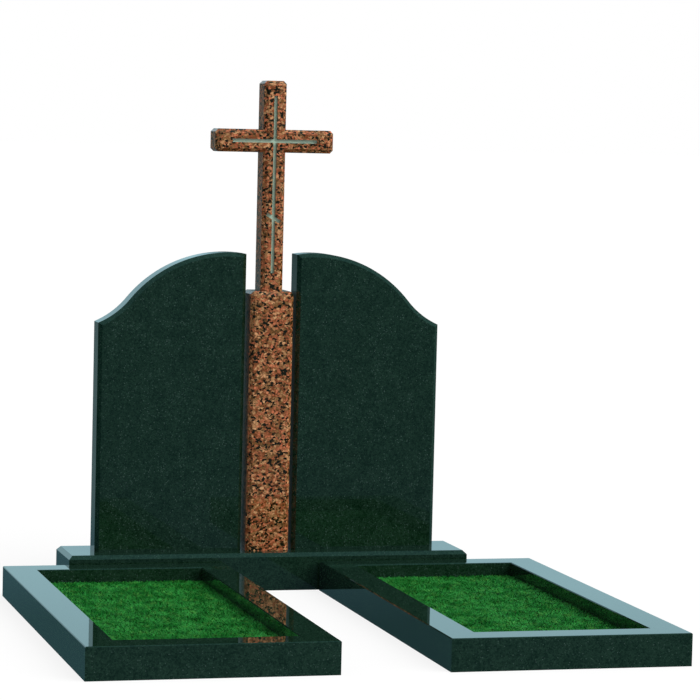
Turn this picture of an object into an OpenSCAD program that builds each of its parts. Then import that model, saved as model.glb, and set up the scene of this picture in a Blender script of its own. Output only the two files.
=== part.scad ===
// Memorial for two graves: a pair of mirrored granite slabs on one plinth, a red granite pillar
// with a cross between them, and two kerbed beds of turf in front.
// Millimetres. +Z is up, the front faces -Y. The origin is on the ground, under the middle of the whole.

/* [Plinth] */
// Height of the plinth
plinth_h = 150; // [100:1:250]
// Width of the chamfer round the plinth's top edges
plinth_chamfer = 15; // [2:1:30]
// Plinth left bare in front of the slabs' faces, chamfer included
front_margin = 90; // [40:1:200]
// Plinth left bare behind the slabs, chamfer included
back_margin = 106; // [40:1:200]
// Plinth left bare beyond the outer edge of each slab, chamfer included
end_margin = 118.5; // [40:0.5:300]

/* [Slabs] */
// Width of one slab
slab_w = 595; // [480:1:750]
// Height of one slab to the crown of its arch
slab_h = 1197; // [800:1:1500]
// Thickness of a slab
slab_t = 104; // [60:1:150]
// Crown of the arch, measured out from the slab's inner edge
crown_in = 71; // [10:1:120]
// Drop from the crown to the shoulder at the outer edge
arch_drop = 283; // [220:1:360]
// Slope of the outline where it reaches the shoulder, below level
shoulder_slope = 23; // [15:1:28]
// Radius of the outward sweep as a share of the arch's radius
sweep_share = 0.64; // [0.4:0.02:1]
// Bevel round the front face of a slab
slab_bevel = 15; // [2:1:30]

/* [Pillar and cross] */
// Width of the pillar
pillar_w = 176; // [130:1:300]
// Thickness of the pillar
pillar_t = 140; // [60:1:180]
// How far the pillar's front stands proud of the slabs' faces and of the cross
pillar_proud = 18; // [0:1:40]
// Height of the pillar
pillar_h = 1044; // [800:1:1200]
// Open joint between the pillar and each slab
pillar_joint = 16.5; // [2:0.5:40]
// Thickness of the cross
cross_t = 104; // [60:1:150]
// Width of the cross's upright and of its arms
bar_w = 91; // [70:1:120]
// Height of the cross's top above the plinth
cross_h = 1884; // [1700:1:2300]
// From the top of the cross down to the centre line of its arms
arm_drop = 240; // [150:1:300]
// Span of the arms
arm_span = 483; // [350:1:700]
// Bevel round the front face
cross_bevel = 16; // [2:1:20]
// Cut across each outer corner of the outline
corner_cut = 12; // [2:1:20]

/* [Line cross] */
// Width of the cut line
line_w = 14; // [6:1:20]
// Depth of the cut line
line_depth = 14; // [3:1:30]
// Stone left above the top end of the upright line
line_top_margin = 60; // [30:1:90]
// Stone left between the pillar's top and the foot of the upright line
line_foot_margin = 72; // [30:1:90]
// Stone left beyond each end of the cross line
line_side_margin = 67; // [30:1:90]
// Length of the slanted foot bar
foot_bar_l = 64; // [30:1:66]
// Middle of the slanted foot bar above the foot of the upright line
foot_bar_rise = 221; // [60:1:300]
// Slant of the foot bar, falling to the right
foot_bar_slant = 29; // [0:1:40]

/* [Beds] */
// Width of one bed over its kerbs
bed_w = 886; // [600:1:1200]
// Length of one bed over its kerbs
bed_l = 1816; // [1000:1:2400]
// Open strip between the two beds
bed_gap = 392; // [50:1:800]
// Width of a kerb
kerb_w = 118; // [60:1:200]
// Height of a kerb
kerb_h = 118; // [80:1:200]
// Small chamfer along a kerb's top edges
kerb_arris = 3; // [1:1:10]
// Turf's surface below the tops of the kerbs
turf_drop = 52; // [10:1:70]
// Joint between the beds and the plinth
bed_joint = 15; // [2:1:60]

/* [Hidden] */
$fn = 180;

dark_stone = [0.07, 0.17, 0.13];
red_stone = [0.50, 0.31, 0.21];
grass = [0.13, 0.40, 0.14];

// A cutter reaches this far past the face it cuts, and a curved one this many degrees past its arc
over = 1;
arc_over = 1;
// Two bevels that meet at a corner differ by this much, so that four faces never cross in one point
bevel_step = 0.05;

// The plinth carries the slabs with the pillar between them
slab_gap = pillar_w + 2 * pillar_joint;
plinth_l = slab_gap + 2 * (slab_w + end_margin);
plinth_d = front_margin + slab_t + back_margin;

// From the plinth's back to the beds' front, the origin halfway
overall_d = plinth_d + bed_joint + bed_l;
front_y = -overall_d / 2;
back_y = overall_d / 2;
bed_back_y = front_y + bed_l;
plinth_front_y = back_y - plinth_d;
stone_front_y = plinth_front_y + front_margin;

// A slab's top is level at the crown, turns down along the arch, and turns back along the sweep until it
// reaches the shoulder at its slope. The run and the drop between the two ends give the angle that the
// arch turns, from sin(turn) + run_per_drop * cos(turn) = arch_sum, and then the arch's radius.
shoulder_h = slab_h - arch_drop;
arch_run = slab_w - crown_in;
run_per_drop = arch_run / arch_drop;
arch_sum = (run_per_drop * (1 + sweep_share * cos(shoulder_slope)) + sweep_share * sin(shoulder_slope))
    / (1 + sweep_share);
arch_turn = 180 - asin(arch_sum / norm([1, run_per_drop])) - atan(run_per_drop);
crown_r = arch_run / (sin(arch_turn) + sweep_share * (sin(arch_turn) - sin(shoulder_slope)));
sweep_r = sweep_share * crown_r;
// The arch hands over to the sweep on the line between their centres, where the sweep bites a hair's
// breadth into the arch, so that the two surfaces cross and leave no step.
arc_bite = 0.02;
arch_centre = [crown_in, slab_h - crown_r];
sweep_centre = arch_centre + (crown_r + sweep_r - arc_bite) * [sin(arch_turn), cos(arch_turn)];

// A block with a 45 degree chamfer round its top
module chamfered_block(size, chamfer) {
    intersection() {
        along_x(size.x) chamfered_profile(size.y, size.z, chamfer);
        along_y(size.y) chamfered_profile(size.x, size.z, chamfer);
    }
}

module chamfered_profile(w, h, chamfer) {
    polygon([[-w / 2, 0], [w / 2, 0], [w / 2, h - chamfer], [w / 2 - chamfer, h],
             [-w / 2 + chamfer, h], [-w / 2, h - chamfer]]);
}

module along_x(l) {
    rotate([90, 0, 90]) linear_extrude(l, center = true) children();
}

module along_y(l) {
    rotate([90, 0, 0]) linear_extrude(l, center = true) children();
}

// Stands an outline drawn in x and height upright, with its front face on y = 0 and its back at y = t
module stand_up(t) {
    translate([0, t, 0]) rotate([90, 0, 0]) linear_extrude(t) children();
}

// The triangle that a bevel takes off an edge, across the edge: x runs outwards, y runs into the stone
module bevel_section(bevel) {
    polygon([[-bevel - over, -over], [over, -over], [over, bevel + over]]);
}

// Takes the bevel off the edge of an upright stone from a to b, with the stone on the left of a to b.
// The cutter runs on past both ends, to meet its neighbours at the corners.
module bevel_edge(a, b, bevel) {
    run = b - a;
    run_on = 2 * bevel;
    translate([a.x, 0, a.y]) rotate([0, -atan2(run.y, run.x), 0]) translate([norm(run) / 2, 0, 0])
        rotate([-90, 0, 0]) rotate([90, 0, 90])
            linear_extrude(norm(run) + 2 * run_on, center = true) bevel_section(bevel);
}

// Takes the bevel off an arc of an upright stone, between two angles, the stone inside or outside the arc
module bevel_arc(centre, radius, start, turn, bevel, inside) {
    translate([centre.x, 0, centre.y]) rotate([90, 0, 0]) rotate([0, 0, start]) rotate_extrude(angle = turn)
        translate([radius, 0]) mirror([inside ? 0 : 1, 0]) mirror([0, 1]) bevel_section(bevel);
}

// Outline of a slab in x and height, its inner edge on x = 0
module slab_outline() {
    above = sweep_centre + [0, crown_r];
    difference() {
        square([slab_w, slab_h + over]);
        // All that is outside the arch, as far as the line between the centres, and then the sweep
        difference() {
            polygon([[-over, arch_centre.y], arch_centre, sweep_centre, above, [-over, above.y]]);
            translate(arch_centre) circle(crown_r);
        }
        translate(sweep_centre) circle(sweep_r);
    }
}

// A slab with its inner edge on x = 0 and its front face on y = 0
module slab_stone() {
    arch_bevel_turn = arch_turn + 2 * asin(crown_in / crown_r);
    arc_bevel = slab_bevel - bevel_step;
    difference() {
        stand_up(slab_t) slab_outline();
        bevel_edge([0, slab_h], [0, 0], slab_bevel);
        bevel_edge([slab_w, 0], [slab_w, shoulder_h], slab_bevel);
        bevel_arc(arch_centre, crown_r, 90 - arch_turn, arch_bevel_turn, arc_bevel, true);
        bevel_arc(sweep_centre, sweep_r, 270 - arch_turn - arc_over, arch_turn, arc_bevel, false);
    }
}

module plinth() {
    color(dark_stone) translate([0, back_y - plinth_d / 2, 0])
        chamfered_block([plinth_l, plinth_d, plinth_h], plinth_chamfer);
}

module right_slab() {
    color(dark_stone) translate([slab_gap / 2, stone_front_y, plinth_h]) slab_stone();
}

module left_slab() {
    color(dark_stone) mirror([1, 0, 0]) translate([slab_gap / 2, stone_front_y, plinth_h]) slab_stone();
}

// Corners of a bar of the cross, anticlockwise, with the top ones cut and the lower ones cut if asked
function bar_corners(w, low, high, cut_low) =
    let (c = corner_cut, d = cut_low ? corner_cut : 0, x = w / 2)
    concat(cut_low ? [[-x, low + d], [-x + d, low], [x - d, low], [x, low + d]] : [[-x, low], [x, low]],
           [[x, high - c], [x - c, high], [-x + c, high], [-x, high - c]]);

// An upright bar, front face on y = 0, bevelled round its front apart from an edge that stands on the plinth
module cross_bar(w, low, high, t) {
    corners = bar_corners(w, low, high, low > 0);
    last = len(corners) - 1;
    difference() {
        stand_up(t) polygon(corners);
        for (i = [0:last]) {
            a = corners[i];
            b = corners[i == last ? 0 : i + 1];
            across_corner = a.x != b.x && a.y != b.y;
            if (a.y > 0 || b.y > 0) bevel_edge(a, b, cross_bevel - (across_corner ? bevel_step : 0));
        }
    }
}

module cut_line(from, to) {
    run = to - from;
    translate([from.x, 0, from.y]) rotate([0, -atan2(run.y, run.x), 0])
        translate([0, -over, -line_w / 2]) cube([norm(run), line_depth + over, line_w]);
}

module cross_pillar() {
    line_half = arm_span / 2 - line_side_margin;
    line_foot = pillar_h + line_foot_margin;
    bar_end = foot_bar_l / 2 * [cos(foot_bar_slant), -sin(foot_bar_slant)];
    bar_middle = [0, line_foot + foot_bar_rise];
    arm_z = cross_h - arm_drop;
    color(red_stone) translate([0, stone_front_y, plinth_h]) difference() {
        union() {
            translate([0, -pillar_proud, 0]) cross_bar(pillar_w, 0, pillar_h, pillar_t);
            cross_bar(bar_w, 0, cross_h, cross_t);
            cross_bar(arm_span, arm_z - bar_w / 2, arm_z + bar_w / 2, cross_t);
        }
        cut_line([0, line_foot], [0, cross_h - line_top_margin]);
        cut_line([-line_half, arm_z], [line_half, arm_z]);
        cut_line(bar_middle - bar_end, bar_middle + bar_end);
    }
}

// One bed's stones lie round its middle. side is -1 for the left bed and 1 for the right bed.
module in_bed(side) {
    translate([side * (bed_gap + bed_w) / 2, (front_y + bed_back_y) / 2, 0]) children();
}

// The four kerbs of a bed as one ring, with the arris round its outside and round its opening
module kerb_ring() {
    opening = [bed_w - 2 * kerb_w, bed_l - 2 * kerb_w];
    difference() {
        chamfered_block([bed_w, bed_l, kerb_h], kerb_arris);
        plan_box(opening);
        intersection() {
            along_x(bed_w) flared_profile(opening.y);
            along_y(bed_l) flared_profile(opening.x);
        }
    }
}

// Across the opening at the kerbs' tops, where the arris widens it
module flared_profile(w) {
    flare = kerb_arris + over;
    polygon([[-w / 2, kerb_h - kerb_arris], [w / 2, kerb_h - kerb_arris],
             [w / 2 + flare, kerb_h + over], [-w / 2 - flare, kerb_h + over]]);
}

// A box of this plan that reaches past the kerbs' tops and undersides
module plan_box(plan) {
    translate([-plan.x / 2, -plan.y / 2, -over]) cube([plan.x, plan.y, kerb_h + 2 * over]);
}

// The front and back kerbs run the full width of the bed. end is -1 at the front and 1 at the back.
module cross_kerb(side, end) {
    reach = kerb_w + over;
    color(dark_stone) in_bed(side) intersection() {
        kerb_ring();
        translate([0, end * (bed_l / 2 - kerb_w + reach / 2), 0]) plan_box([bed_w + 2 * over, reach]);
    }
}

// The side kerbs fit between them. edge is -1 on the bed's left and 1 on its right.
module side_kerb(side, edge) {
    reach = kerb_w + over;
    color(dark_stone) in_bed(side) intersection() {
        kerb_ring();
        translate([edge * (bed_w / 2 - kerb_w + reach / 2), 0, 0]) plan_box([reach, bed_l - 2 * kerb_w]);
    }
}

module turf(side) {
    color(grass) in_bed(side) translate([-bed_w / 2 + kerb_w, -bed_l / 2 + kerb_w, 0])
        cube([bed_w - 2 * kerb_w, bed_l - 2 * kerb_w, kerb_h - turf_drop]);
}

plinth();
left_slab();
right_slab();
cross_pillar();
cross_kerb(-1, -1);  // left_front_kerb
cross_kerb(-1, 1);  // left_back_kerb
side_kerb(-1, -1);  // left_outer_kerb
side_kerb(-1, 1);  // left_inner_kerb
turf(-1);  // left_turf
cross_kerb(1, -1);  // right_front_kerb
cross_kerb(1, 1);  // right_back_kerb
side_kerb(1, 1);  // right_outer_kerb
side_kerb(1, -1);  // right_inner_kerb
turf(1);  // right_turf
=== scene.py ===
import math
import bmesh
import bpy
from mathutils import Matrix, Vector


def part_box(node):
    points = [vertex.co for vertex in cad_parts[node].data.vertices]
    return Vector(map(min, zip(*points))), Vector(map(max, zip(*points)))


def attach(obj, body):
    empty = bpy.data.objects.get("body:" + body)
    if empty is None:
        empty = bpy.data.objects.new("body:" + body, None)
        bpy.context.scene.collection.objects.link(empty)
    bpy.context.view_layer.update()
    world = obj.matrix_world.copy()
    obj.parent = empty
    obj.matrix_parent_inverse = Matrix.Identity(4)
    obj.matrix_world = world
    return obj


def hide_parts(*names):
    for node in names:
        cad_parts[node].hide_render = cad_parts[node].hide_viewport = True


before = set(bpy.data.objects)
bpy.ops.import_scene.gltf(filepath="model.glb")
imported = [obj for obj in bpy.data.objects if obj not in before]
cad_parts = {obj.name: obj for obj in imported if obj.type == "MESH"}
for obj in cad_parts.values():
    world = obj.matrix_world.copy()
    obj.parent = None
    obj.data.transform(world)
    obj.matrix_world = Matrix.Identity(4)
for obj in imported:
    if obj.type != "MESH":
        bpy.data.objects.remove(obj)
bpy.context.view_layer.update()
scene = bpy.context.scene


# ---- The plinth ----
# One long block of dark green-black granite that carries the slabs and the pillar. It is sawn, chamfered
# and polished to a mirror on every face that shows, and it lies level on its foundation.

STONE_IOR = 1.5
DARK_GRAIN = 0.0046
DARK_CRYSTAL = 0.0105
DARK_MOTTLE = 0.060
DARK_FLECK = 0.0062
HONED_ROUGHNESS = 0.35


class Recipe:
    """A node tree while it is written out. node() adds a node of any kind."""

    def __init__(self, tree):
        self.tree = tree

    def node(self, kind, settings=None, inputs=None, output=0):
        """Sets the node's settings, then the values or the links of its sockets, and returns one output."""
        made = self.tree.nodes.new(kind)
        for name, value in (settings or {}).items():
            if name == "stops":
                set_stops(made.color_ramp.elements, value)
            else:
                setattr(made, name, value)
        for name, value in (inputs or {}).items():
            if isinstance(value, Wire):
                self.tree.links.new(value.socket, made.inputs[name])
            else:
                made.inputs[name].default_value = value
        return Wire(self, made.outputs[output]) if made.outputs else made

    def mix(self, factor, low, high):
        """A colour between two colours, by the Mix node's sockets for colours."""
        return self.node("ShaderNodeMix", {"data_type": "RGBA"}, {0: factor, 6: low, 7: high}, 2)


class Wire:
    """One output of a node. Arithmetic on it adds the Math nodes."""

    def __init__(self, recipe, socket):
        self.recipe = recipe
        self.socket = socket

    def math(self, operation, *values):
        """A value worked out from these values and wires."""
        return self.recipe.node("ShaderNodeMath", {"operation": operation}, dict(enumerate(values)))

    def __add__(self, other):
        return self.math("ADD", self, other)

    __radd__ = __add__

    def __sub__(self, other):
        return self.math("SUBTRACT", self, other)

    def __rsub__(self, other):
        return self.math("SUBTRACT", other, self)

    def __mul__(self, other):
        return self.math("MULTIPLY", self, other)

    __rmul__ = __mul__

    def __gt__(self, other):
        return self.math("GREATER_THAN", self, other)

    def __lt__(self, other):
        return self.math("LESS_THAN", self, other)

    def map(self, low, high, curve="LINEAR"):
        """0 where this is at low and 1 where it is at high."""
        return self.recipe.node("ShaderNodeMapRange", {"interpolation_type": curve},
                                {"Value": self, "From Min": low, "From Max": high})

    def ramp(self, low, high):
        """The same with soft ends."""
        return self.map(low, high, "SMOOTHSTEP")


def set_stops(elements, stops):
    """Gives a ramp these stops, each a place and a colour."""
    while len(elements) < len(stops):
        elements.new(1)
    for element, (place, colour) in zip(elements, stops):
        element.position = place
        element.color = colour


def rgb(red, green, blue):
    return (red, green, blue, 1)


def new_finish(name, **constants):
    """A material, its recipe, and its Principled shader with the sockets that stay the same all over."""
    finish = bpy.data.materials.new(name)
    finish.use_nodes = True
    shader = finish.node_tree.nodes["Principled BSDF"]
    for socket, value in constants.items():
        shader.inputs[socket.replace("_", " ")].default_value = value
    return finish, Recipe(finish.node_tree), shader


def feed(recipe, shader, **patterns):
    """Leads what varies over the surface to the shader's sockets."""
    for socket, wire in patterns.items():
        recipe.tree.links.new(wire.socket, shader.inputs[socket.replace("_", " ")])


def cells(recipe, place, size, output="Color"):
    """A random colour for each grain, or the distance from its middle, for grains of this size in metres."""
    return recipe.node("ShaderNodeTexVoronoi", {}, {"Vector": place, "Scale": 1 / size}, output)


def cloud(recipe, place, size, detail):
    """Soft blotches of this size in metres."""
    return recipe.node("ShaderNodeTexNoise", {}, {"Vector": place, "Scale": 1 / size, "Detail": detail})


def channel(recipe, colour, which):
    """The red, green or blue of a colour."""
    return recipe.node("ShaderNodeSeparateColor", {}, {"Color": colour}, which)


def honing(recipe, place, near, far, top):
    """How much rougher stone is where it is only honed: between two distances to the sides, up to top."""
    across = recipe.node("ShaderNodeSeparateXYZ", {}, {"Vector": place}, "X")
    across = across.math("ABSOLUTE", across)
    rise = recipe.node("ShaderNodeSeparateXYZ", {}, {"Vector": place}, "Z")
    return HONED_ROUGHNESS * (across > near) * (across < far) * (rise < top)


def dark_granite(name, honed=None):
    """Fine dark crystals, mottled, with pale flecks. honed says where it isn't polished, for honing()."""
    finish, recipe, shader = new_finish(name, IOR=STONE_IOR)
    place = recipe.node("ShaderNodeTexCoord", output="Object")
    grain = channel(recipe, cells(recipe, place, DARK_GRAIN), "Red")
    crystal = channel(recipe, cells(recipe, place, DARK_CRYSTAL), "Blue")
    mottle = cloud(recipe, place, DARK_MOTTLE, 3.0)
    tone = 0.80 * grain + 0.40 * crystal + 0.65 * mottle - 0.42
    green_black = rgb(0.0018, 0.0112, 0.0044)
    bottle_green = rgb(0.0102, 0.0300, 0.0172)
    base = recipe.mix(tone, green_black, bottle_green)
    fleck_cell = cells(recipe, place, DARK_FLECK)
    reach = cells(recipe, place, DARK_FLECK, "Distance")
    chosen = (channel(recipe, fleck_cell, "Green") + 0.6 * (mottle - 0.5)).ramp(0.82, 0.97)
    fleck = chosen * (1 - reach.ramp(0.20, 0.48))
    dull_fleck = rgb(0.013, 0.036, 0.024)
    bright_fleck = rgb(0.043, 0.075, 0.062)
    pale = recipe.mix(channel(recipe, fleck_cell, "Blue"), dull_fleck, bright_fleck)
    rough = 0.015 + 0.05 * fleck + 0.01 * grain
    if honed:
        rough = rough + honing(recipe, place, *honed)
    feed(recipe, shader, Base_Color=recipe.mix(fleck, base, pale), Roughness=rough)
    return finish


def take_finish(names, finish):
    """Gives a finish to pieces that keep the shape they have."""
    for name in names:
        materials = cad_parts[name].data.materials
        materials.clear()
        materials.append(finish)


dark_stone = dark_granite("dark_granite")
take_finish(["plinth"], dark_stone)


# ---- The slabs ----
# Two mirrored slabs of the same dark granite, one for each grave, stood on the plinth on a bed of grout.
# Their arched fronts are bevelled and polished, and no inscription has been cut. The edges that face the
# pillar are honed, as far up as it hides them.

HONING_MARGIN = 0.0005

# The pillar stands proud of the slabs and its cross doesn't, so what lies in front of them is the pillar's.
slab_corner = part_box("right_slab")[0]
pillar_corners = [point.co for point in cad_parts["cross_pillar"].data.vertices
                  if point.co.y < slab_corner.y - HONING_MARGIN]
pillar_top = max(corner.z for corner in pillar_corners)
pillar_side = max(corner.x for corner in pillar_corners)
joint = (pillar_side - HONING_MARGIN, slab_corner.x + HONING_MARGIN, pillar_top)
take_finish(["left_slab", "right_slab"], dark_granite("dark_granite_slabs", joint))


# ---- The pillar with its cross ----
# One upright of coarse red granite, salmon feldspar with black mica and smoky quartz, polished.
# It stands between the slabs, clear of both, and its sides are honed where they face them.

RED_CRYSTAL = 0.0100
RED_BEND = 0.008
MICA_GRAIN = 0.0080
MICA_CROWD = 0.024
QUARTZ_GRAIN = 0.0058


def red_granite(honed):
    """Coarse feldspar of two colours with darker rims, set with mica in clusters and with quartz."""
    finish, recipe, shader = new_finish("red_granite", IOR=STONE_IOR)
    spot = recipe.node("ShaderNodeTexCoord", output="Object")
    place = recipe.node("ShaderNodeMapping", {}, {"Vector": spot, "Scale": (0.8, 1.0, 1.0)})
    bend = recipe.node("ShaderNodeTexNoise", {}, {"Vector": place, "Scale": 1 / RED_BEND, "Detail": 2.0},
                       "Color")
    centred = recipe.node("ShaderNodeVectorMath", {"operation": "SUBTRACT"}, {0: bend, 1: (0.5, 0.5, 0.5)})
    bent = recipe.node("ShaderNodeVectorMath", {"operation": "MULTIPLY_ADD"},
                       {0: centred, 1: (0.010, 0.010, 0.010), 2: place})
    crystal = cells(recipe, bent, RED_CRYSTAL)
    tone, hue = channel(recipe, crystal, "Red"), channel(recipe, crystal, "Green")
    salmon = recipe.mix(tone, rgb(0.165, 0.045, 0.011), rgb(0.600, 0.182, 0.084))
    tan = recipe.mix(tone, rgb(0.165, 0.076, 0.020), rgb(0.640, 0.332, 0.155))
    feldspar = recipe.mix(hue.ramp(0.35, 0.75), salmon, tan)
    rim = recipe.node("ShaderNodeTexVoronoi", {"feature": "DISTANCE_TO_EDGE"},
                      {"Vector": bent, "Scale": 1 / RED_CRYSTAL})
    rim_brown = rgb(0.066, 0.028, 0.004)
    feldspar = recipe.mix(0.6 * (1 - rim.ramp(0.02, 0.16)), feldspar, rim_brown)
    small = cells(recipe, bent, MICA_GRAIN)
    crowd = cloud(recipe, place, MICA_CROWD, 1.0)
    mica = (channel(recipe, small, "Green") + 0.8 * (crowd - 0.5)).ramp(0.76, 0.81)
    quartz = channel(recipe, cells(recipe, bent, QUARTZ_GRAIN), "Blue").ramp(0.80, 0.86) * (1 - mica)
    smoke_brown = rgb(0.044, 0.027, 0.006)
    mica_black = rgb(0.008, 0.008, 0.001)
    coloured = recipe.mix(0.85 * quartz, feldspar, smoke_brown)
    coloured = recipe.mix(mica, coloured, mica_black)
    rough = 0.02 + 0.06 * mica + 0.02 * quartz + honing(recipe, spot, *honed)
    feed(recipe, shader, Base_Color=coloured, Roughness=rough)
    return finish


take_finish(["cross_pillar"], red_granite(joint))


# ---- The painted line cross ----
# A thin line cross with a slanted foot bar is sawn into the front of the cross, and the floor of the cut
# is filled with a coat of silver paint. Its walls are bare stone.

PAINT_FILM = 0.0006
PAINT_FLAKE = 0.0015
PAINT_STREAK = 0.02
FORWARD = -0.999
WELD = 1e-6


def line_paint():
    """The floor of the cut, taken from the stone: of the faces that look forward, the deepest ones."""
    stone = bmesh.new()
    stone.from_mesh(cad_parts["cross_pillar"].data)
    bmesh.ops.remove_doubles(stone, verts=stone.verts, dist=WELD)
    forward = [face for face in stone.faces if face.normal.y < FORWARD]
    floor_y = max(face.calc_center_median().y for face in forward)
    bare = [face for face in stone.faces
            if face.normal.y > FORWARD or face.calc_center_median().y < floor_y - PAINT_FILM]
    bmesh.ops.delete(stone, geom=bare, context="FACES")
    film = bmesh.ops.extrude_face_region(stone, geom=list(stone.faces))["geom"]
    top = [part for part in film if isinstance(part, bmesh.types.BMVert)]
    bmesh.ops.translate(stone, verts=top, vec=(0, -PAINT_FILM, 0))
    bmesh.ops.recalc_face_normals(stone, faces=stone.faces)
    mesh = bpy.data.meshes.new("line_cross_paint")
    stone.to_mesh(mesh)
    stone.free()
    return mesh


def silver_paint():
    """Fine flakes of metal, brushed on in faint streaks."""
    finish, recipe, shader = new_finish("silver_paint", Metallic=0.1, IOR=1.45)
    place = recipe.node("ShaderNodeTexCoord", output="Object")
    flake = cloud(recipe, place, PAINT_FLAKE, 2.0)
    streak = cloud(recipe, place, PAINT_STREAK, 2.0)
    dull_silver = rgb(0.450, 0.645, 0.505)
    bright_silver = rgb(0.585, 0.800, 0.630)
    colour = recipe.mix(0.5 * flake + 0.5 * streak, dull_silver, bright_silver)
    feed(recipe, shader, Base_Color=colour, Roughness=0.35 + 0.2 * flake)
    return finish


paint = bpy.data.objects.new("line_cross_paint", line_paint())
scene.collection.objects.link(paint)
paint.data.materials.append(silver_paint())
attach(paint, "root")


# ---- The kerbs ----
# Eight sawn and polished bars of the dark granite, four round each bed, set on the ground and glued where
# they meet, so that no joint shows. Their top edges are eased with a small chamfer.

SIDES = ("left", "right")
take_finish([f"{side}_{place}_kerb" for side in SIDES for place in ("front", "back", "outer", "inner")],
            dark_stone)


# ---- The turf ----
# Each bed is filled with soil and laid with cut turf, a mat of roots and thatch under a dense sward of fine
# grass. The mat swells a little here and there, and the grass is mown short and leans every way.

SWARD_DEPTH = 0.003
MAT_SWELL = 0.004
MAT_STEP = 0.02
BLADE_LENGTH = 0.015
BLADE_WIDTH = 0.0034
BLADE_LEAN = math.radians(20)
BLADE_SHARES = (0.8, 1.1)
BLADES_PER_SQUARE_METRE = 60000.0
HUMPS_PER_METRE = 7.0
LAWN_PATCH = (9.0, 9.0, 0.0)
CRUMB = 0.006
UPWARD = 0.5
LENGTH_SEED = 5
TONE_SEED = 9


class Growth:
    """A Geometry Nodes tree while it is written out, with named inputs, and the way it is run on a mesh."""

    def __init__(self, name, **kinds):
        self.tree = bpy.data.node_groups.new(name, "GeometryNodeTree")
        self.recipe = Recipe(self.tree)
        sockets = self.tree.interface
        sockets.new_socket("Geometry", in_out="OUTPUT", socket_type="NodeSocketGeometry")
        self.named = {socket: sockets.new_socket(socket, in_out="INPUT", socket_type=kind).identifier
                      for socket, kind in kinds.items()}
        entry = self.tree.nodes.new("NodeGroupInput")
        self.inputs = {socket: Wire(self.recipe, entry.outputs[socket]) for socket in kinds}

    def end(self, geometry):
        leave = self.tree.nodes.new("NodeGroupOutput")
        self.tree.links.new(geometry.socket, leave.inputs["Geometry"])

    def grow(self, name, start, **values):
        """Runs the tree on a mesh and returns a plain object of what grew."""
        grown = bpy.data.objects.new(name, start)
        scene.collection.objects.link(grown)
        modifier = grown.modifiers.new("growth", "NODES")
        modifier.node_group = self.tree
        for socket, value in values.items():
            modifier[self.named[socket]] = value
        depsgraph = bpy.context.evaluated_depsgraph_get()
        grown.data = bpy.data.meshes.new_from_object(
            grown.evaluated_get(depsgraph), preserve_all_data_layers=True, depsgraph=depsgraph)
        grown.modifiers.clear()
        grown.data.name = name
        return grown


def grass_green(recipe, place, tone):
    """The patches of a lawn, deep green to light and yellowing here and there. tone is each blade's own."""
    flat = recipe.node("ShaderNodeMapping", {}, {"Vector": place, "Scale": LAWN_PATCH})
    patch = recipe.node("ShaderNodeTexNoise", {},
                        {"Vector": flat, "Scale": 1.0, "Detail": 5.0, "Roughness": 0.65})
    worn = recipe.node("ShaderNodeTexNoise", {}, {"Vector": flat, "Scale": 2.5, "Detail": 2.0})
    shade = patch.ramp(0.35, 0.67) + 0.10 * (tone - 0.5)
    deep_green = rgb(0.002, 0.112, 0.008)
    fresh_green = rgb(0.027, 0.262, 0.043)
    yellow_green = rgb(0.108, 0.318, 0.056)
    green = recipe.mix(shade, deep_green, fresh_green)
    yellowing = (0.75 * worn + 0.25 * tone).ramp(0.54, 0.72)
    return recipe.mix(0.55 * yellowing, green, yellow_green)


def mat_finish():
    """Dark thatch and crumbs of soil with the lawn's own green over them."""
    finish, recipe, shader = new_finish("turf_mat", Roughness=0.9)
    place = recipe.node("ShaderNodeTexCoord", output="Object")
    crumb = cloud(recipe, place, CRUMB, 3.0)
    moss_black = rgb(0.006, 0.045, 0.006)
    thatch = recipe.mix(0.35 + 0.4 * crumb, moss_black, grass_green(recipe, place, crumb))
    bump = recipe.node("ShaderNodeBump", {}, {"Strength": 0.6, "Distance": 0.004, "Height": crumb})
    feed(recipe, shader, Base_Color=thatch, Normal=bump)
    return finish


def blade_finish():
    """Grass without a shine, each blade a little lighter or darker than the next."""
    finish, recipe, shader = new_finish("grass_blades", Roughness=0.6, IOR=1.4, Specular_IOR_Level=0.25)
    place = recipe.node("ShaderNodeTexCoord", output="Object")
    tone = recipe.node("ShaderNodeAttribute", {"attribute_name": "tone"}, output="Fac")
    feed(recipe, shader, Base_Color=grass_green(recipe, place, tone))
    return finish


def mat_tree():
    """A closed block of soil and thatch, its top swelling a little."""
    growth = Growth("turf_mat", Middle="NodeSocketVector", Size="NodeSocketVector", Swell="NodeSocketFloat",
                    Across="NodeSocketInt", Along="NodeSocketInt", Finish="NodeSocketMaterial")
    node, inputs = growth.recipe.node, growth.inputs
    block = node("GeometryNodeMeshCube", {},
                 {"Size": inputs["Size"], "Vertices X": inputs["Across"], "Vertices Y": inputs["Along"]})
    placed = node("GeometryNodeTransform", {}, {"Geometry": block, "Translation": inputs["Middle"]})
    place = node("GeometryNodeInputPosition")
    rise = node("ShaderNodeSeparateXYZ", {}, {"Vector": place}, "Z")
    middle_rise = node("ShaderNodeSeparateXYZ", {}, {"Vector": inputs["Middle"]}, "Z")
    hump = node("ShaderNodeTexNoise", {}, {"Vector": place, "Scale": HUMPS_PER_METRE, "Detail": 2.0})
    lift = node("ShaderNodeCombineXYZ", {}, {"Z": (hump - 0.5) * inputs["Swell"] * 2})
    swollen = node("GeometryNodeSetPosition", {},
                   {"Geometry": placed, "Selection": rise > middle_rise, "Offset": lift})
    realized = node("GeometryNodeRealizeInstances", {}, {"Geometry": swollen})
    growth.end(node("GeometryNodeSetMaterial", {}, {"Geometry": realized, "Material": inputs["Finish"]}))
    return growth


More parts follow.
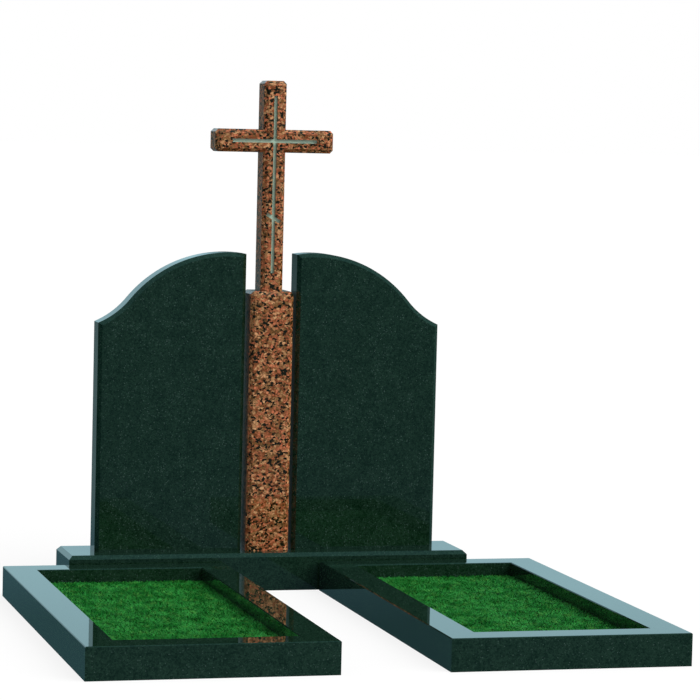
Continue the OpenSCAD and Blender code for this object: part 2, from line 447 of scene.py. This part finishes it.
def sward_tree():
    """Blades of grass on the top of the mat, each with a tone of its own, pressed back by the kerbs."""
    growth = Growth("sward", Mat="NodeSocketGeometry", Blade="NodeSocketObject", Length="NodeSocketFloat",
                    Width="NodeSocketFloat", Density="NodeSocketFloat", Low="NodeSocketVector",
                    High="NodeSocketVector", Seed="NodeSocketInt", Finish="NodeSocketMaterial")
    node, inputs = growth.recipe.node, growth.inputs
    normal = node("GeometryNodeInputNormal")
    upward = node("ShaderNodeSeparateXYZ", {}, {"Vector": normal}, "Z") > UPWARD
    spots = node("GeometryNodeDistributePointsOnFaces", {},
                 {"Mesh": inputs["Mat"], "Selection": upward, "Density": inputs["Density"],
                  "Seed": inputs["Seed"]})
    turn = node("FunctionNodeRandomValue", {"data_type": "FLOAT_VECTOR"},
                {"Min": (-BLADE_LEAN, -BLADE_LEAN, 0), "Max": (BLADE_LEAN, BLADE_LEAN, math.tau),
                 "Seed": inputs["Seed"]})
    rotation = node("FunctionNodeEulerToRotation", {}, {"Euler": turn})
    share = node("FunctionNodeRandomValue", {"data_type": "FLOAT"},
                 {2: BLADE_SHARES[0], 3: BLADE_SHARES[1], "Seed": LENGTH_SEED}, 1)
    size = node("ShaderNodeCombineXYZ", {},
                {"X": inputs["Width"], "Y": inputs["Length"] * share, "Z": inputs["Length"] * share})
    source = node("GeometryNodeObjectInfo", {}, {"Object": inputs["Blade"]}, "Geometry")
    blades = node("GeometryNodeInstanceOnPoints", {},
                  {"Points": spots, "Instance": source, "Rotation": rotation, "Scale": size})
    tone = node("FunctionNodeRandomValue", {"data_type": "FLOAT"}, {2: 0.0, 3: 1.0, "Seed": TONE_SEED}, 1)
    toned = node("GeometryNodeStoreNamedAttribute", {"data_type": "FLOAT", "domain": "INSTANCE"},
                 {"Geometry": blades, "Name": "tone", "Value": tone})
    realized = node("GeometryNodeRealizeInstances", {}, {"Geometry": toned})
    place = node("GeometryNodeInputPosition")
    kept = node("ShaderNodeVectorMath", {"operation": "MAXIMUM"}, {0: place, 1: inputs["Low"]})
    kept = node("ShaderNodeVectorMath", {"operation": "MINIMUM"}, {0: kept, 1: inputs["High"]})
    pressed = node("GeometryNodeSetPosition", {}, {"Geometry": realized, "Position": kept})
    growth.end(node("GeometryNodeSetMaterial", {}, {"Geometry": pressed, "Material": inputs["Finish"]}))
    return growth


def blade_shape():
    """A slim spike of three faces that lies over as it rises, a unit long and a unit wide at its foot."""
    foot = [(-0.5, 0, 0), (0.5, 0, 0), (0, 0.05, 0)]
    tip = (0, 0.90, 0.36)
    mesh = bpy.data.meshes.new("grass_blade")
    mesh.from_pydata([*foot, tip], [], [(0, 1, 3), (1, 2, 3), (2, 0, 3)])
    return bpy.data.objects.new("grass_blade", mesh)


mat, sward, blade = mat_tree(), sward_tree(), blade_shape()
soil, green = mat_finish(), blade_finish()
for seed, side in enumerate(SIDES):
    low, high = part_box(f"{side}_turf")
    top = high.z - SWARD_DEPTH
    size = Vector((high.x - low.x, high.y - low.y, top - low.z))
    middle = Vector((low.x + high.x, low.y + high.y, low.z + top)) / 2
    bed_mat = mat.grow(f"{side}_turf_mat", bpy.data.meshes.new("nothing"), Middle=middle, Size=size,
                       Swell=MAT_SWELL, Across=round(size.x / MAT_STEP), Along=round(size.y / MAT_STEP),
                       Finish=soil)
    kerb_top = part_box(f"{side}_front_kerb")[1].z
    grass = sward.grow(f"{side}_grass", bed_mat.data.copy(), Blade=blade, Length=BLADE_LENGTH,
                       Width=BLADE_WIDTH, Density=BLADES_PER_SQUARE_METRE, Low=low,
                       High=Vector((high.x, high.y, kerb_top)), Seed=seed, Finish=green)
    for piece in (bed_mat, grass):
        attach(piece, "root")
    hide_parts(f"{side}_turf")
bpy.data.objects.remove(blade)


# ---- The floor and what the stone mirrors ----
# The memorial stands on a plain white floor that throws back less light than its white shows. Its polished
# faces mirror a pale sky behind it, that darkens to slate towards the ground, and darker surroundings in
# front, because white would wash the stone out.

FLOOR_REACH = 150.0
FLOOR_SHOWN = 0.9
FLOOR_BOUNCE = 0.45
SHADOW_SHARE = 0.15
SKYLIGHT = 0.55
LAMP_ENERGY = 3.25
LAMP_SPREAD = math.radians(60)
LAMP_PLACE = Vector((0.85, -0.75, 0.95))


def grey(tone):
    return rgb(tone, tone, tone)


def lay_floor():
    """White to the camera but for a faint shadow, and left out of what the polish mirrors."""
    mesh = bpy.data.meshes.new("floor")
    corners = [(x * FLOOR_REACH, y * FLOOR_REACH, 0) for x, y in ((-1, -1), (1, -1), (1, 1), (-1, 1))]
    mesh.from_pydata(corners, [], [(0, 1, 2, 3)])
    floor = bpy.data.objects.new("floor", mesh)
    scene.collection.objects.link(floor)
    finish = bpy.data.materials.new("floor")
    finish.use_nodes = True
    finish.node_tree.nodes.clear()
    recipe = Recipe(finish.node_tree)
    seen = recipe.node("ShaderNodeLightPath", output="Is Camera Ray")
    pale = recipe.mix(seen, grey(FLOOR_BOUNCE), grey(FLOOR_SHOWN))
    matt = recipe.node("ShaderNodeBsdfDiffuse", {}, {"Color": pale})
    white = recipe.node("ShaderNodeEmission", {}, {"Color": grey(1), "Strength": 1.0})
    shaded = recipe.node("ShaderNodeMixShader", {}, {0: seen * (1 - SHADOW_SHARE), 1: matt, 2: white})
    recipe.node("ShaderNodeOutputMaterial", {}, {"Surface": shaded})
    mesh.materials.append(finish)
    floor.visible_glossy = False
    return floor


def surround():
    """White to the camera, an even grey light for matt faces, and the mirrored surroundings for polish."""
    world = bpy.data.worlds.new("surround")
    world.use_nodes = True
    world.node_tree.nodes.clear()
    recipe = Recipe(world.node_tree)
    towards = recipe.node("ShaderNodeTexCoord", output="Generated")
    back = recipe.node("ShaderNodeSeparateXYZ", {}, {"Vector": towards}, "Y")
    rise = recipe.node("ShaderNodeSeparateXYZ", {}, {"Vector": towards}, "Z")
    in_front = [
        (0.0, rgb(0.075, 0.125, 0.205)),
        (0.4, rgb(0.050, 0.105, 0.150)),
        (0.75, rgb(0.015, 0.065, 0.100)),
        (1.0, rgb(0.030, 0.090, 0.125))]
    behind = [
        (0.0, rgb(0.050, 0.125, 0.140)),
        (0.070, rgb(0.045, 0.115, 0.130)),
        (0.110, rgb(0.070, 0.160, 0.195)),
        (0.152, rgb(0.145, 0.235, 0.250)),
        (0.272, rgb(0.140, 0.225, 0.240)),
        (0.312, rgb(0.080, 0.150, 0.155)),
        (0.504, rgb(0.085, 0.150, 0.155)),
        (0.640, rgb(0.45, 0.72, 0.82)),
        (0.70, rgb(0.56, 0.90, 1.00)),
        (0.80, rgb(0.52, 0.83, 0.93)),
        (0.89, rgb(0.35, 0.57, 0.67)),
        (1.0, rgb(0.32, 0.54, 0.63))]
    front_side = recipe.node("ShaderNodeValToRGB", {"stops": in_front}, {"Fac": back + 1})
    back_side = recipe.node("ShaderNodeValToRGB", {"stops": behind}, {"Fac": rise.map(-0.2, 0.3)})
    level = recipe.mix(back.ramp(-0.2, 0.7), front_side, back_side)
    overhead = rgb(0.19, 0.42, 0.50)
    mirrored = recipe.mix(rise.ramp(0.30, 0.85), level, overhead)
    path = recipe.node("ShaderNodeLightPath", output="Is Glossy Ray")
    lit = recipe.mix(path, grey(SKYLIGHT), mirrored)
    seen = recipe.node("ShaderNodeLightPath", output="Is Camera Ray")
    glow = recipe.node("ShaderNodeBackground", {}, {"Color": recipe.mix(seen, lit, grey(1))})
    recipe.node("ShaderNodeOutputWorld", {}, {"Surface": glow})
    return world


def hang_lamp():
    """One broad soft lamp, high in front and to the right."""
    lamp = bpy.data.lights.new("soft_lamp", "SUN")
    lamp.energy = LAMP_ENERGY
    lamp.angle = LAMP_SPREAD
    hung = bpy.data.objects.new("soft_lamp", lamp)
    scene.collection.objects.link(hung)
    hung.rotation_euler = LAMP_PLACE.to_track_quat("Z", "Y").to_euler()
    hung.visible_glossy = False


lay_floor()
scene.world = surround()
hang_lamp()


# ---- The camera ----
# It looks down a little on the memorial from the front left, through a long lens, and is tipped slightly
# to one side.

LENS = 157.56
EYE = Vector((-2.9012, -11.0414, 1.9096))
YAW, PITCH, ROLL = (math.radians(angle) for angle in (15.191, 4.406, 1.387))

camera = bpy.data.cameras.new("camera")
camera.lens = LENS
camera.sensor_width = 36
camera.clip_end = 1000
stand = bpy.data.objects.new("camera", camera)
scene.collection.objects.link(stand)
stand.matrix_world = (Matrix.Translation(EYE) @ Matrix.Rotation(-YAW, 4, "Z")
                      @ Matrix.Rotation(math.pi / 2 - PITCH, 4, "X") @ Matrix.Rotation(ROLL, 4, "Z"))
scene.camera = stand
scene.view_settings.view_transform = "Standard"
